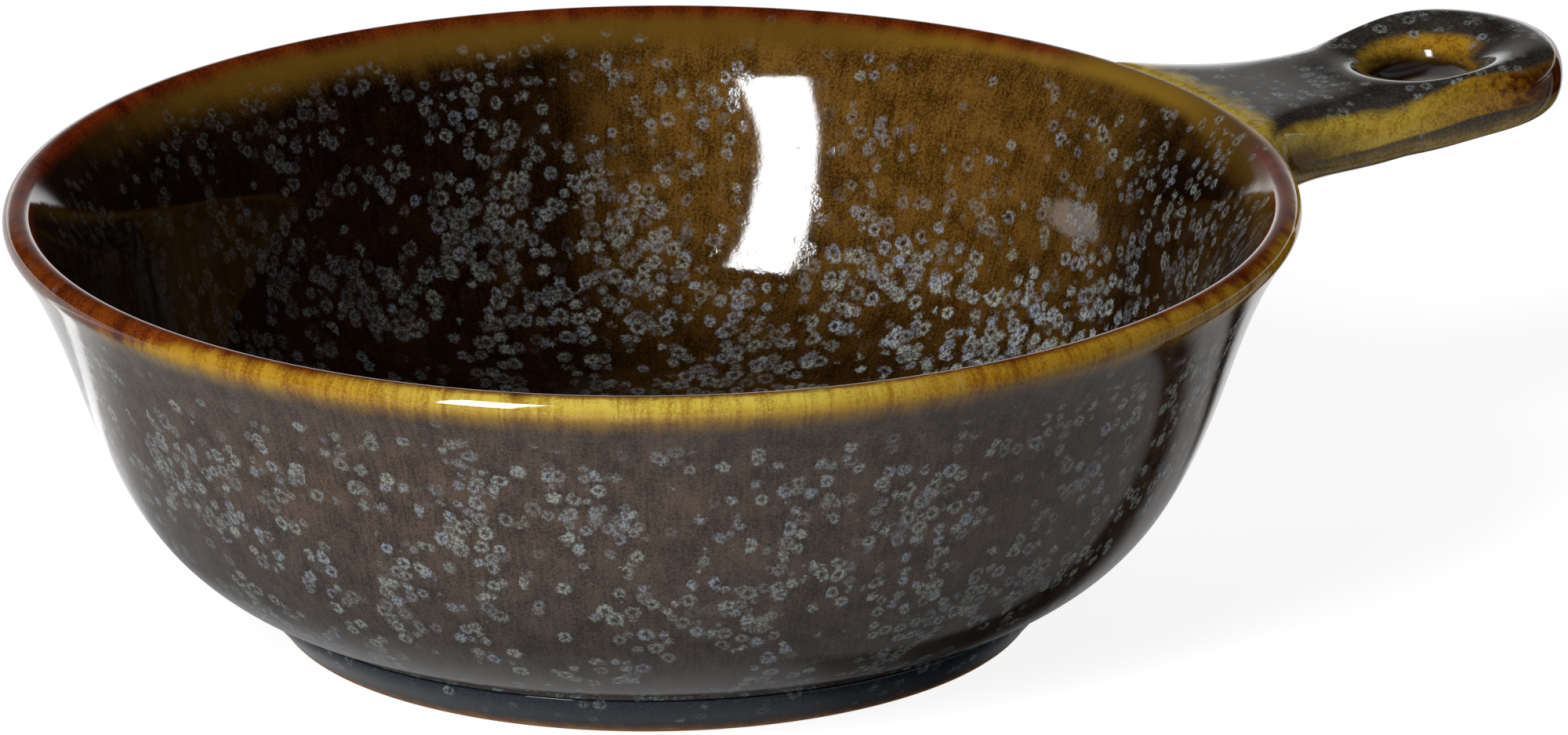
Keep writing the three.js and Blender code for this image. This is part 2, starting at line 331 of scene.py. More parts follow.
@dataclass
class Handle:
    """The flat handle: round end with a hanging hole, drawn-in neck, root flared on the wall, in mm."""

    shell: BowlShell
    ring_radius: float = 15.6
    hole_x: float = 105.4
    hole_length: float = 9.6
    hole_width: float = 11.0
    hole_round: float = 2.6
    hole_dish: float = 1.3
    ring_facets: int = 24
    ring_opening: float = 135.0
    shoulders: tuple[tuple[float, float, float], ...] = (
        (135, 95.8, 13.0), (120, 99.4, 13.1), (105, 103.0, 12.9), (90, 107.0, 13.5), (75, 111.2, 14.6))
    neck_sections: tuple[tuple[float, float], ...] = (
        (91.6, 12.4), (87.6, 12.6), (84.0, 13.2), (80.6, 14.6), (77.9, 16.8), (75.9, 19.6), (73.4, 22.0))
    neck_top: float = 49.6
    neck_bottom: float = 41.0
    ring_lift: float = 2.1
    ring_bottom_lift: float = 2.5
    lip_lift: float = 0.8
    root_drop: float = 5.8
    tip_inset: float = 2.1
    sway: float = -0.3
    edge_fall: float = 0.6
    edge_draw: float = 0.95
    ring_rise: Band = (89, 115)
    lip_blend: Band = (72, 90)
    root_blend: Band = (72, 83)
    wall_blend: Band = (76, 90)
    sway_start: Band = (82, 94)
    sway_end: Band = (98, 110)
    root_sink: float = 1.0
    angle_slack: float = 1.0
    length_slack: float = 0.1
    middle_levels: Band = (0.1, 0.9)
    subdivisions: int = 3

    def _height(self, x: float, level: float) -> float:
        """Height of the cage: a saddle at the neck, up to the ring and the lip, flared down under the root.

        Args:
            x: Distance from the bowl's axis.
            level: 0 on the bottom and 1 on the top.

        Returns:
            The height above the table.
        """
        rising = smooth(x, *self.ring_rise)
        lip = self.lip_lift * (1 - smooth(x, *self.lip_blend))
        root = self.root_drop * (1 - smooth(x, *self.root_blend))
        top = self.neck_top + self.ring_lift * rising + lip
        bottom = self.neck_bottom + self.ring_bottom_lift * rising - root
        return lerp(bottom, top, level)

    def _plan(self, cage: bmesh.types.BMesh) -> None:
        """Draws the flat plan: facets round the hole, and sections from their near side to the root.

        Args:
            cage: An empty mesh, which gets the plan.
        """
        ring_x = HANDLE_TIP - self.tip_inset - self.ring_radius
        ring = bmesh.ops.create_circle(cage, segments=self.ring_facets, radius=self.ring_radius)["verts"]
        bmesh.ops.translate(cage, verts=ring, vec=(ring_x, 0, 0))
        outline = list(cage.edges)
        made = bmesh.ops.extrude_edge_only(cage, edges=outline)["geom"]
        for vertex in (part for part in made if isinstance(part, bmesh.types.BMVert)):
            turn = math.atan2(vertex.co.y, vertex.co.x - ring_x)
            along = (self.hole_length / 2 + self.hole_round) * math.cos(turn)
            across = (self.hole_width / 2 + self.hole_round) * math.sin(turn)
            vertex.co = (self.hole_x + along, across, 0)
        spokes = [edge for edge in cage.edges if not edge.is_boundary]
        bmesh.ops.subdivide_edges(cage, edges=spokes, cuts=1, use_grid_fill=True)
        opening = math.radians(self.ring_opening - self.angle_slack)
        opening_x = ring_x + self.ring_radius * math.cos(opening)
        row = [edge for edge in outline if max(vertex.co.x for vertex in edge.verts) < opening_x]
        columns = sorted({vertex for edge in row for vertex in edge.verts}, key=lambda vertex: vertex.co.y)
        shares = [vertex.co.y / columns[-1].co.y for vertex in columns]
        for vertex in {vertex for edge in outline for vertex in edge.verts}:
            turn = abs(math.degrees(math.atan2(vertex.co.y, vertex.co.x - ring_x)))
            for angle, x, half_width in self.shoulders:
                if abs(turn - angle) < self.angle_slack:
                    vertex.co.xy = x, math.copysign(half_width, vertex.co.y)
        for x, half_width in self.neck_sections:
            made = bmesh.ops.extrude_edge_only(cage, edges=row)["geom"]
            columns = [part for part in made if isinstance(part, bmesh.types.BMVert)]
            columns.sort(key=lambda vertex: vertex.co.y)
            for vertex, share in zip(columns, shares):
                vertex.co.xy = x, half_width * share
            edges = [part for part in made if isinstance(part, bmesh.types.BMEdge)]
            row = [edge for edge in edges if set(edge.verts) <= set(columns)]

    def _shape(self, cage: bmesh.types.BMesh) -> None:
        """Gives the flat plan its thickness, rise and flare, and bends its root round the wall.

        Args:
            cage: The flat plan, which becomes the closed cage.
        """
        hole = Vector((self.hole_x, 0))
        hole_reach = max(self.hole_length, self.hole_width) / 2 + self.hole_round + self.length_slack
        rim = [vertex.co.xy for vertex in cage.verts if vertex.is_boundary and vertex.co.x > RIM_RADIUS]
        mouth = {tuple(spot) for spot in rim if (spot - hole).length < hole_reach}
        rim = {tuple(spot) for spot in rim} - mouth
        top = bmesh.ops.extrude_face_region(cage, geom=list(cage.faces), use_keep_orig=True)["geom"]
        for vertex in (part for part in top if isinstance(part, bmesh.types.BMVert)):
            vertex.co.z = 1
        self._round_hole(cage, hole, hole_reach)
        for vertex in cage.verts:
            x, y, level = vertex.co
            height = self._height(x, level)
            if level == 1 and (x, y) in mouth:
                height -= self.hole_dish
            if level == 1 and (x, y) in rim:
                height -= self.edge_fall
                y *= self.edge_draw
            y += self.sway * smooth(x, *self.sway_start) * (1 - smooth(x, *self.sway_end))
            wall = self.shell.outside_radius(height)
            standing_off = x - (self.shell.lip_centre.x + self.root_sink)
            on_wall = math.sqrt(wall ** 2 - y ** 2) + standing_off
            vertex.co = (lerp(on_wall, x, smooth(x, *self.wall_blend)), y, height)

    def _round_hole(self, cage: bmesh.types.BMesh, hole: Vector, reach: float) -> None:
        """Draws the middle of the hole's wall inwards, so that the hole's edges are full rounds.

        Args:
            cage: The closed cage, with its bottom at level 0 and its top at level 1.
            hole: The hole's middle, in plan.
            reach: Distance from the middle within which all upright edges are of the hole's wall.
        """
        wall = [edge for edge in cage.edges if edge.verts[0].co.z != edge.verts[1].co.z
                and (edge.verts[0].co.xy - hole).length < reach]
        bmesh.ops.subdivide_edges(cage, edges=wall, cuts=1, use_grid_fill=True)
        low, high = self.middle_levels
        for vertex in (vertex for vertex in cage.verts if low < vertex.co.z < high):
            out = vertex.co.xy - hole
            vertex.co.xy = hole + out * ((out.length - self.hole_round) / out.length)

    def build(self) -> bpy.types.Object:
        """Builds the handle as a subdivided cage.

        Returns:
            The piece, its root sunk a little into the wall.
        """
        cage = bmesh.new()
        self._plan(cage)
        self._shape(cage)
        piece = finished_piece("handle_glazed", cage)
        surface = piece.modifiers.new("round", "SUBSURF")
        surface.levels = self.subdivisions
        surface.render_levels = self.subdivisions
        return piece


class Value:
    """A number in a shader: a socket that Python's arithmetic works on."""

    def __init__(self, shader: "Shader", socket: Socket) -> None:
        """Wraps a socket of a shader's node."""
        self.shader = shader
        self.socket = socket

    def __add__(self, other: Number) -> "Value":
        """This number plus another."""
        return self.shader.math("ADD", self, other)

    __radd__ = __add__

    def __mul__(self, other: Number) -> "Value":
        """This number times another."""
        return self.shader.math("MULTIPLY", self, other)

    __rmul__ = __mul__

    def __sub__(self, other: Number) -> "Value":
        """This number less another."""
        return self.shader.math("SUBTRACT", self, other)

    def __rsub__(self, other: Number) -> "Value":
        """Another number less this one."""
        return self.shader.math("SUBTRACT", other, self)

    def __truediv__(self, other: Number) -> "Value":
        """This number over another."""
        return self.shader.math("DIVIDE", self, other)

    def __neg__(self) -> "Value":
        """This number with its sign turned."""
        return self.shader.math("MULTIPLY", self, -1.0)

    def step(self, low: Number, high: Number) -> "Value":
        """0 below low, 1 above high, and a smooth rise between them."""
        settings = {"interpolation_type": "SMOOTHSTEP"}
        return Value(self.shader, self.shader.node(
            "ShaderNodeMapRange", settings, {"Value": self, "From Min": low, "From Max": high}).outputs[0])


class Shader:
    """A node tree that is written as expressions."""

    def __init__(self, tree: bpy.types.NodeTree) -> None:
        """Empties a tree, to fill it anew."""
        self.tree = tree
        tree.nodes.clear()

    def node(self, kind: str, settings: dict[str, Any],
             sockets: dict[Union[str, int], Any]) -> bpy.types.Node:
        """Makes a node.

        Args:
            kind: The node's type.
            settings: Its properties, such as an operation, which are set first.
            sockets: Values or links of its inputs, by name or number.

        Returns:
            The node.
        """
        made = self.tree.nodes.new(kind)
        for name, setting in settings.items():
            setattr(made, name, setting)
        for name, value in sockets.items():
            source = value.socket if isinstance(value, Value) else value
            if isinstance(source, Socket):
                self.tree.links.new(source, made.inputs[name])
            else:
                made.inputs[name].default_value = source
        return made

    def math(self, operation: str, *terms: Number) -> Value:
        """A number worked out from others."""
        made = self.node("ShaderNodeMath", {"operation": operation}, dict(enumerate(terms)))
        return Value(self, made.outputs[0])

    def vector(self, operation: str, *terms: Any) -> Socket:
        """A vector worked out from others."""
        return self.node("ShaderNodeVectorMath", {"operation": operation}, dict(enumerate(terms))).outputs[0]

    def scaled(self, vector: Socket, factor: float) -> Socket:
        """A vector times a number."""
        sockets = {0: vector, "Scale": factor}
        return self.node("ShaderNodeVectorMath", {"operation": "SCALE"}, sockets).outputs[0]

    def mix(self, share: Number, first: Any, second: Any) -> Socket:
        """A colour at a share of the way from the first to the second."""
        sockets = {0: share, 6: first, 7: second}
        return self.node("ShaderNodeMix", {"data_type": "RGBA"}, sockets).outputs[2]

    def parts(self, vector: Socket) -> tuple[Value, Value, Value]:
        """The three numbers of a vector or a colour."""
        made = self.node("ShaderNodeSeparateXYZ", {}, {0: vector})
        return Value(self, made.outputs[0]), Value(self, made.outputs[1]), Value(self, made.outputs[2])

    def rays(self, *kinds: str) -> list[Value]:
        """1 for rays of a kind and 0 for others, for each kind."""
        path = self.node("ShaderNodeLightPath", {}, {})
        return [Value(self, path.outputs[f"Is {kind} Ray"]) for kind in kinds]

    def object_place(self) -> Socket:
        """The place on the object, in millimetres from the foot of the bowl's axis."""
        place = self.node("ShaderNodeTexCoord", {}, {}).outputs["Object"]
        return self.scaled(self.vector("SUBTRACT", place, BOWL_AXIS), 1 / MM)

    def length(self, x: Value, y: Value) -> Value:
        """The length of a vector of two numbers."""
        return self.math("POWER", x * x + y * y, 0.5)

    def joined(self, x: Number, y: Number, z: Number) -> Socket:
        """A vector of three numbers."""
        return self.node("ShaderNodeCombineXYZ", {}, {0: x, 1: y, 2: z}).outputs[0]

    def noise(self, place: Socket, size: float, detail: float = 2.0) -> Value:
        """Soft noise from 0 to 1, with lumps of about the given size."""
        sockets = {"Vector": place, "Scale": 1 / size, "Detail": detail}
        return Value(self, self.node("ShaderNodeTexNoise", {}, sockets).outputs[0])


def towards(x: Value, y: Value, azimuth: float) -> Value:
    """How far a level vector in a shader reaches towards a bearing."""
    way = bearing(azimuth, 0)
    return x * way.x + y * way.y


class Zone(Enum):
    """The parts of the object that the glaze runs differently on."""

    WALL = "wall"
    FOOT = "foot"
    HANDLE = "handle"


@dataclass(frozen=True)
class Crystals:
    """Ring-shaped crystals with lobed edges. Sizes in mm; ring and pit in shares of a crystal's radius."""

    tone: Tone = ((0.260, 0.290, 0.350, 1), (0.310, 0.340, 0.290, 1))
    pit_colour: Colour = (0.020, 0.012, 0.006, 1)
    pit_cover: float = 0.8
    cell: float = 1.7
    randomness: float = 0.9
    least_radius: float = 0.72
    radius_spread: float = 0.42
    waver_scale: float = 2.2
    waver_detail: float = 1.5
    waver_reach: float = 0.75
    cluster_size: float = 8.0
    cluster_detail: float = 2.5
    cluster: Band = (0.40, 0.58)
    share_alone: float = 0.18
    share_clustered: float = 1.20
    presence: Band = (-0.05, 0.12)
    petal_size: float = 0.32
    petal: Band = (0.36, 0.62)
    bareness: float = 0.2
    fullness: float = 0.9
    faintness: float = 0.45
    vigour: Band = (0.3, 0.7)
    ring_inside: Band = (0.12, 0.55)
    ring_outside: Band = (0.58, 1.0)
    pit: Band = (0.08, 0.34)
    relief: float = 0.006
    roughness: float = 0.08


class GlazeCoat(Shader):
    """The glaze on one part of the object. Each part has a subclass that paints it."""

    def __init__(self, tree: bpy.types.NodeTree, glaze: "ReactiveGlaze") -> None:
        """Starts a coat.

        Args:
            tree: The material's tree.
            glaze: The glaze that the coat is of.
        """
        super().__init__(tree)
        self.glaze = glaze
        self.place = self.object_place()

    def paint(self) -> None:
        """Paints the whole coat."""
        raise NotImplementedError

    def blood(self, grain: Value, patches: Value) -> Socket:
        """The red of a broken edge, speckled and patched."""
        share = (grain * 0.5 + patches * 0.5).step(*self.glaze.blood)
        return self.mix(share, *self.glaze.oxblood)

    def crystals(self, base: Socket, density: Value, cover: Number = 0.8,
                 size: Number = 1.0) -> tuple[Socket, Value]:
        """Lays crystals on a colour, each whole or absent.

        Args:
            base: The colour under the crystals.
            density: Share of the crystals that are there, from 0 to 1.
            cover: How much of the colour a ring hides.
            size: How far the crystals grew, about 1.

        Returns:
            The colour with the crystals, and how much of a ring is there.
        """
        kind = self.glaze.crystals
        waver = self.node("ShaderNodeTexNoise", {}, {
            "Vector": self.place, "Scale": kind.waver_scale, "Detail": kind.waver_detail}).outputs[1]
        moved = self.scaled(self.vector("SUBTRACT", waver, (0.5, 0.5, 0.5)), kind.waver_reach)
        cells = self.node("ShaderNodeTexVoronoi", {}, {
            "Vector": self.vector("ADD", self.place, moved), "Scale": 1 / kind.cell,
            "Randomness": kind.randomness})
        chance, tint, spread = self.parts(cells.outputs["Color"])
        centre = cells.outputs["Position"]
        radius = size * (kind.least_radius + kind.radius_spread * spread)
        reach = Value(self, cells.outputs["Distance"]) * kind.cell / radius
        clusters = self.noise(centre, kind.cluster_size, kind.cluster_detail).step(*kind.cluster)
        share = density * (kind.share_alone + kind.share_clustered * clusters)
        present = (share - chance).step(*kind.presence)
        vigour = self.noise(centre, 1.0, 0.0).step(*kind.vigour)
        strength = present * (kind.faintness + (1 - kind.faintness) * vigour)
        petals = self.noise(self.place, kind.petal_size, 1.0).step(*kind.petal)
        ring = reach.step(*kind.ring_inside) * (1 - reach.step(*kind.ring_outside)) * strength
        ring = ring * (kind.bareness + kind.fullness * petals)
        middle = (1 - reach.step(*kind.pit)) * present
        pitted = self.mix(middle * kind.pit_cover, base, kind.pit_colour)
        return self.mix(ring * cover, pitted, self.mix(tint, *kind.tone)), ring

    def polish(self, colour: Socket, ring: Value, matt: Number, relief: Value) -> None:
        """Ends the coat as one glossy surface.

        Args:
            colour: The coat's colour.
            ring: How much of a crystal's ring is there.
            matt: Roughness beyond the gloss and the crystals'.
            relief: Relief in millimetres, beyond the crystals'.
        """
        kind = self.glaze.crystals
        height = ring * kind.relief + relief
        bump = self.node("ShaderNodeBump", {}, {"Strength": 1.0, "Distance": MM, "Height": height})
        surface = self.node("ShaderNodeBsdfPrincipled", {}, {
            "Base Color": colour, "Roughness": self.glaze.gloss + ring * kind.roughness + matt,
            "IOR": self.glaze.refraction, "Normal": bump.outputs[0]})
        self.node("ShaderNodeOutputMaterial", {}, {"Surface": surface.outputs[0]})


@dataclass(frozen=True)
class WallMarks:
    """Where the shell's glaze changes: down the wall in mm from the crest, round the bowl in cosines."""

    camera_bearing: float = -30.0
    lit_bearing: float = 126.0
    hair_size: float = 0.55
    run_size: float = 3.2
    drift_size: float = 14.0
    grain_size: float = 0.28
    patch_size: float = 3.5
    stretch: float = 0.14
    run_jitter: float = 3.0
    drift_jitter: float = 2.0
    outside: Band = (-0.6, 0.6)
    tone: Band = (0.36, 0.64)
    mottle: Band = (0.38, 0.58)
    lit_round: Band = (0.75, 1.02)
    lit_depth: Band = (14.0, 46.0)
    out_of_left_shade: Band = (-1.0, -0.6)
    handle_tipward: Band = (0.62, 0.92)
    handle_leftward: Band = (0.0, 0.25)
    golden_tipward: Band = (0.72, 0.94)
    golden_leftward: Band = (-0.25, 0.05)
    rooted: Band = (0.94, 0.985)
    melted_tipward: Band = (0.86, 0.95)
    melted_middle: float = 0.5
    melted: Band = (1.5, 3.5)
    thin_rim: Band = (2.0, 9.0)
    gilt: Band = (3.4, 7.0)
    front_shade: Band = (0.1, 0.7)
    floor: Band = (34.0, 60.0)
    slate: Band = (14.0, 50.0)
    amber: Band = (2.8, 6.4)
    straw: Band = (1.6, 3.8)
    front_sheen_round: Band = (0.86, 1.0)
    right: Band = (0.1, 0.6)
    red_least: float = 0.2
    red_left: float = 5.2
    red_right: float = 1.2
    red_round: Band = (0.3, 0.93)
    red_outside: Band = (-0.9, 0.9)
    red_inside: Band = (0.9, 3.0)
    seam_middle: float = 0.3
    seam: Band = (0.15, 0.75)
    brow: Band = (0.42, 0.56)
    cluster_round: Band = (0.28, 0.5)
    cluster_depth: Band = (22.0, 32.0)
    cluster_drift: Band = (0.3, 0.6)
    crystals_inside: Band = (2.5, 10.0)
    crystals_outside: Band = (5.0, 14.0)
    crystals_by_handle: float = 4.0
    large_depth: Band = (14.0, 30.0)
    cover_out_of_left_shade: Band = (-0.85, 0.3)
    grain_relief: float = 0.0022
    patch_relief: float = 0.01


class WallCoat(GlazeCoat):
    """The glaze on the shell: brown inside, umber outside, amber and oxblood along the lip."""

    def __init__(self, tree: bpy.types.NodeTree, glaze: "ReactiveGlaze") -> None:
        """Starts the coat, and reads each place from the crest, round the bowl, and in noises.

        Args:
            tree: The material's tree.
            glaze: The glaze that the coat is of.
        """
        super().__init__(tree, glaze)
        marks = glaze.wall
        crest = self.node("ShaderNodeAttribute", {"attribute_name": "crest"}, {})
        self.crest = Value(self, crest.outputs["Fac"])
        self.depth = -self.crest
        self.outside = self.crest.step(*marks.outside)
        x, y, _ = self.parts(self.place)
        tipward, leftward, _ = self.parts(self.vector("NORMALIZE", self.joined(x, y, 0.0)))
        runny = self.joined(tipward * RIM_RADIUS, leftward * RIM_RADIUS, self.crest * marks.stretch)
        self.hairs = self.noise(runny, marks.hair_size)
        self.runs = self.noise(runny, marks.run_size, 2.5)
        self.drift = self.noise(runny, marks.drift_size, 1.0)
        self.grain = self.noise(self.place, marks.grain_size, 4.0)
        self.patches = self.noise(self.place, marks.patch_size)
        self.jitter = (self.runs - 0.5) * marks.run_jitter + (self.drift - 0.5) * marks.drift_jitter
        self.facing = towards(tipward, leftward, marks.camera_bearing)
        self.aside = towards(tipward, leftward, marks.camera_bearing + 90)
        # Painted light: a pool of the key's light on the back of the inside, fading down the wall; partly
        # also thinner glaze.
        lit_and_thin = towards(tipward, leftward, marks.lit_bearing) + (self.drift - 0.5) * 0.2
        self.lit_and_thin = lit_and_thin.step(*marks.lit_round) * (1 - 0.8 * self.depth.step(*marks.lit_depth))
        self.by_handle = tipward.step(*marks.handle_tipward) * (1 - leftward.step(*marks.handle_leftward))
        self.golden = tipward.step(*marks.golden_tipward) * leftward.step(*marks.golden_leftward)
        self.rooted = tipward.step(*marks.rooted)
        melted = 1 - self.math("ABSOLUTE", self.crest + marks.melted_middle).step(*marks.melted)
        self.melted = tipward.step(*marks.melted_tipward) * melted

    def _base(self) -> Socket:
        """The colour away from the lip: brown and gilt inside, lit by a painted pool of light and darkened by
        painted shade, umber to slate outside.

        Returns:
            The colour.
        """
        glaze, marks = self.glaze, self.glaze.wall
        tone = (self.grain * 0.5 + self.hairs * 0.2 + self.patches * 0.3).step(*marks.tone)
        # Painted shade: the thin rim and the gilt fade out on the far left of the inside, where shade falls.
        out_of_left_shade = self.aside.step(*marks.out_of_left_shade)
        thin_rim = 1 - (self.depth - self.jitter).step(*marks.thin_rim)
        thin_rim = thin_rim * (1 - self.by_handle * 0.5) * out_of_left_shade
        lit_and_thin = self.math("MAXIMUM", self.lit_and_thin, thin_rim * 0.8)
        # Painted light and shade: brown where the pool of light falls, dark sepia as painted shade elsewhere.
        inside = self.mix(lit_and_thin, self.mix(tone, *glaze.shade_sepia), self.mix(tone, *glaze.brown))
        gilt = 1 - (self.depth * (1 + self.golden * 0.9) - self.jitter * 0.4).step(*marks.gilt)
        gilt = gilt * out_of_left_shade * (0.85 - self.by_handle * (1 - self.golden) * 0.35)
        inside = self.mix(gilt, inside, self.mix(self.golden * 0.4, glaze.gilt, glaze.amber[1]))
        # Painted shade: the inner wall on the camera's side and the deep basin are darkened to dark sepia.
        front_shade = self.facing.step(*marks.front_shade) * 0.8
        shadowed = self.math("MAXIMUM", front_shade, self.depth.step(*marks.floor) * 0.4)
        inside = self.mix(shadowed, inside, glaze.shade_sepia[0])
        slaty = self.crest.step(*marks.slate) * 0.75
        outside = self.mix(slaty, self.mix(tone, *glaze.umber), self.mix(tone, *glaze.slate))
        return self.mix(self.outside, inside, outside)

    def _lip(self, base: Socket) -> Socket:
        """Lays amber, straw and oxblood along the lip.

        Args:
            base: The colour away from the lip.

        Returns:
            The colour.
        """
        glaze, marks = self.glaze, self.glaze.wall
        mottle = (self.runs * 0.35 + self.grain * 0.35 + self.hairs * 0.30).step(*marks.mottle)
        # Partly painted sheen: pale straw along the lip on the camera's side, partly the glaze's own colour
        # and partly a painted highlight.
        straw = 1 - (self.crest + self.jitter * 0.7).step(*marks.straw)
        straw = straw * self.facing.step(*marks.front_sheen_round)
        broken = self.mix(straw, self.mix(mottle, *glaze.amber), self.mix(mottle, *glaze.straw))
        amber = (1 - (self.crest - self.jitter * 0.3).step(*marks.amber)) * self.outside
        edge = marks.red_left - (marks.red_left - marks.red_right) * self.aside.step(*marks.right)
        edge = marks.red_least + edge * (1 - self.facing.step(*marks.red_round))
        red_outside = 1 - (self.crest + self.jitter * 0.9 - edge).step(*marks.red_outside)
        red_inside = 1 - (self.depth + self.jitter * 0.5).step(*marks.red_inside)
        seam = self.math("ABSOLUTE", self.crest - marks.seam_middle + self.jitter * 0.3)
        brow = (1 - seam.step(*marks.seam)) * self.runs.step(*marks.brow) * 0.8
        red = red_outside * self.outside + red_inside * (1 - self.outside)
        red = self.math("MAXIMUM", red, brow) * (1 - self.rooted)
        return self.mix(red * 0.92, self.mix(amber, base, broken), self.blood(self.grain, self.runs))

    def paint(self) -> None:
        """Paints the whole coat, with more and larger crystals down in the basin."""
        marks = self.glaze.wall
        inside = 1 - self.outside
        cluster = self.aside.step(*marks.cluster_round) * self.depth.step(*marks.cluster_depth)
        cluster = cluster * self.drift.step(*marks.cluster_drift)
        down = (self.depth + self.by_handle * marks.crystals_by_handle).step(*marks.crystals_inside)
        density = (1.1 - 0.7 * self.lit_and_thin + 0.3 * cluster) * down * inside
        density = density + 0.6 * self.crest.step(*marks.crystals_outside) * self.outside
        size = 1.0 + 0.2 * self.math("MAXIMUM", self.outside, self.depth.step(*marks.large_depth))
        # Painted shade: crystals show less on the left of the inside and down in the basin, where shade
        # falls.
        cover = 0.15 + 0.50 * self.aside.step(*marks.cover_out_of_left_shade)
        cover = cover * (1 - 0.5 * self.depth.step(*marks.floor)) + cluster * 0.5
        cover = cover * inside + 1.15 * self.outside
        colour, ring = self.crystals(self._lip(self._base()), density, cover, size)
        matt = self.math("MAXIMUM", self.rooted * self.outside, self.melted) * 0.3
        relief = self.grain * marks.grain_relief + self.patches * marks.patch_relief
        self.polish(colour, ring, matt, relief)


@dataclass(frozen=True)
class FootMarks:
    """Where the foot's glaze changes, in millimetres above the table."""

    grain_size: float = 0.3
    ragged_size: float = 1.6
    ragged_detail: float = 3.0
    ragged_reach: float = 1.1
    bare: Band = (0.45, 0.75)
    halo: Band = (0.7, 1.5)
    halo_cover: float = 0.7
    navy: Band = (0.35, 0.75)
    crystals: Band = (1.0, 1.6)
    crystal_share: float = 0.3
    bare_relief: float = 0.03
    bare_roughness: float = 0.7


class FootCoat(GlazeCoat):
    """The glaze on the foot: thick and navy, ending in a ragged line above the bare clay of the base."""

    def paint(self) -> None:
        """Paints the whole coat."""
        glaze, marks = self.glaze, self.glaze.foot
        height = self.parts(self.place)[2]
        grain = self.noise(self.place, marks.grain_size)
        ragged = self.noise(self.place, marks.ragged_size, marks.ragged_detail)
        line = height - (ragged - 0.5) * marks.ragged_reach
        bare = 1 - line.step(*marks.bare)
        halo = 1 - line.step(*marks.halo)
        navy = self.mix(grain.step(*marks.navy), *glaze.navy)
        colour, ring = self.crystals(navy, height.step(*marks.crystals) * marks.crystal_share)
        colour = self.mix(halo * marks.halo_cover, colour, glaze.amber[0])
        colour = self.mix(bare, colour, glaze.clay)
        self.polish(colour, ring, bare * marks.bare_roughness, bare * grain * marks.bare_relief)


@dataclass(frozen=True)
class HandleMarks:
    """Where the handle's glaze changes: in mm from the bowl's axis, the hole or the table, and by tilt."""

    grain_size: float = 0.3
    drift_size: float = 4.5
    spot_size: float = 1.3
    tone: Band = (0.35, 0.7)
    mottle: Band = (0.36, 0.6)
    ring_rise: Band = (86.0, 114.0)
    slate_tilt: Band = (-0.5, 0.1)
    under_tilt: Band = (-0.98, -0.84)
    side_tilt: Band = (0.30, 0.75)
    side_height: Band = (2.7, 3.1)
    lip: Band = (74.5, 78.5)
    lip_tilt: Band = (0.0, 0.5)
    mouth: Band = (7.2, 8.8)
    mouth_across: Band = (-3.0, 2.0)
    straw: Band = (88.0, 112.0)
    scorch: Band = (78.0, 92.0)
    scorch_height: Band = (4.2, 6.4)
    tip: Band = (98.0, 124.0)
    tip_red: float = 0.62
    tip_depth: float = 0.8
    red: Band = (0.56, 0.96)
    red_from_hole: Band = (10.0, 12.0)
    hole_shade: Band = (6.5, 8.5)
    hole_shade_height: Band = (46.8, 49.4)
    hole_shade_roughness: float = 0.15
    crystal_tilt: Band = (0.0, 0.8)
    drift_relief: float = 0.01


